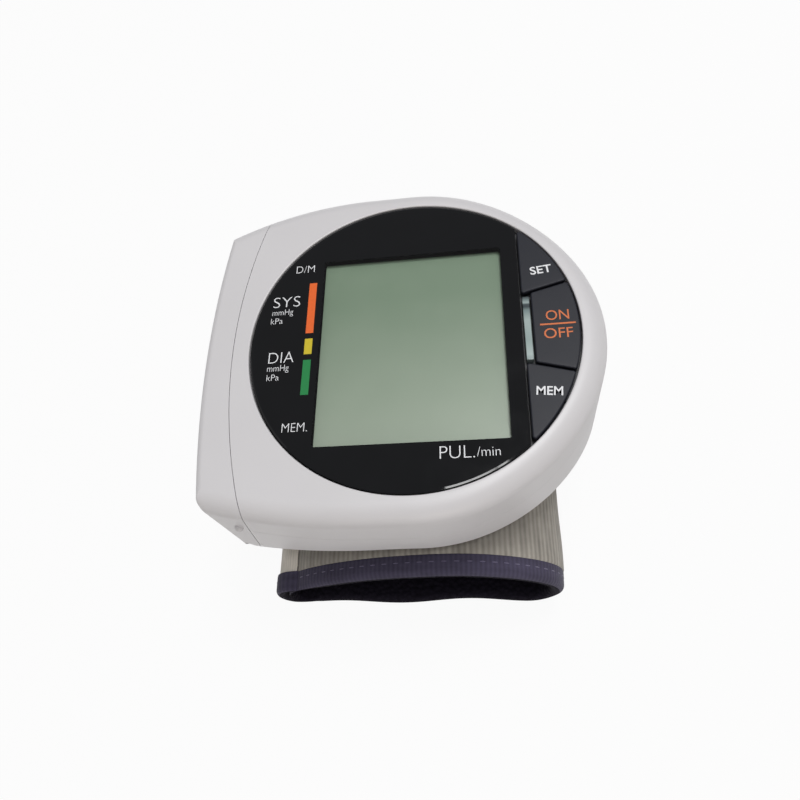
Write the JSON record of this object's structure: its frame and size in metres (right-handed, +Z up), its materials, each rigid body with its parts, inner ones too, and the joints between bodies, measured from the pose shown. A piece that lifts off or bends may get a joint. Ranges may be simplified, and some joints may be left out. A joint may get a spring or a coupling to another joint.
{
  "type": "wrist blood pressure monitor",
  "caption": "Compact monitor with a round black lens, a display window, side buttons and a sliding battery cover, held on a bound fabric wrist cuff that closes with a hook flap.",
  "frame": {"origin": "point on the table under the middle of the case, at the foot of the cuff", "axes": "+X to the right of the display, +Y to its top and along the wrist, +Z up out of its face"},
  "size_m": [0.073, 0.0766, 0.0471],
  "materials": {
    "white_case": "satin",
    "black_lens": "polished",
    "slate_button": "fine grain",
    "display_glass": "polished",
    "holder_plastic": "moulded",
    "elastomer": "matte",
    "board_laminate": "solder mask",
    "clear_plastic": "clear",
    "black_plastic": "moulded",
    "steel": "plated",
    "cell_jacket": "printed film",
    "silicone": "translucent",
    "woven_fabric": "fine loop weave",
    "binding_tape": "woven tape",
    "dark_lining": "smooth weave",
    "bladder_sheet": "matte",
    "stiff_sheet": "plain"
  },
  "bodies": {
    "monitor": {"front_cover": "white_case", "rear_cover": "white_case", "display_lens": "black_lens", "lcd_panel": "display_glass", "lcd_holder": "holder_plastic", "zebra_strip_upper": "elastomer", "zebra_strip_lower": "elastomer", "main_board": "board_laminate", "set_switch": "black_plastic", "power_switch": "black_plastic", "memory_switch": "black_plastic", "indicator_light_guide": "clear_plastic", "indicator_led": "clear_plastic", "buzzer": "black_plastic", "pressure_sensor": "black_plastic", "pump_motor": "steel", "pump_head": "black_plastic", "release_valve": "steel", "air_manifold": "black_plastic", "pump_tube": "silicone", "valve_tube": "silicone", "sensor_tube": "silicone", "cell_upper": "cell_jacket", "cell_lower": "cell_jacket", "contact_link": "steel", "contact_positive": "steel", "contact_negative": "steel", "contact_spring_upper": "steel", "contact_spring_lower": "steel", "case_screw_1": "steel", "case_screw_2": "steel", "case_screw_3": "steel", "case_screw_4": "steel", "board_screw_1": "steel", "board_screw_2": "steel", "board_screw_3": "steel", "plate_screw_1": "steel", "plate_screw_2": "steel", "cuff_plate": "black_plastic", "cuff_fabric": "woven_fabric", "cuff_stiffener": "stiff_sheet", "cuff_bladder": "bladder_sheet", "cuff_lining": "dark_lining", "cuff_binding_front": "binding_tape", "cuff_binding_rear": "binding_tape"},
    "set_button": {"set_button": "slate_button"},
    "power_button": {"power_button": "slate_button"},
    "memory_button": {"memory_button": "slate_button"},
    "battery_cover": {"battery_cover": "white_case"},
    "strap_flap": {"flap_fabric": "woven_fabric", "flap_hook_tape": "dark_lining", "flap_binding_front": "binding_tape", "flap_binding_rear": "binding_tape"}
  },
  "joints": [
    {"name": "set_press", "type": "slide", "parent": "monitor", "child": "set_button", "axis": [0, 0, -1], "range_m": [0, 0.0005], "stiffness_N_per_m": 120},
    {"name": "power_press", "type": "slide", "parent": "monitor", "child": "power_button", "axis": [0, 0, -1], "range_m": [0, 0.0005], "stiffness_N_per_m": 120},
    {"name": "memory_press", "type": "slide", "parent": "monitor", "child": "memory_button", "axis": [0, 0, -1], "range_m": [0, 0.0005], "stiffness_N_per_m": 120},
    {"name": "battery_cover_slide", "type": "slide", "parent": "monitor", "child": "battery_cover", "axis": [-1, 0, 0], "range_m": [0, 0.03]},
    {"name": "flap_fold", "type": "hinge", "parent": "monitor", "child": "strap_flap", "pos_m": [-0.02795, 0, 0.00182], "axis": [0, -1, 0], "range_deg": [0, 70]}
  ]
}
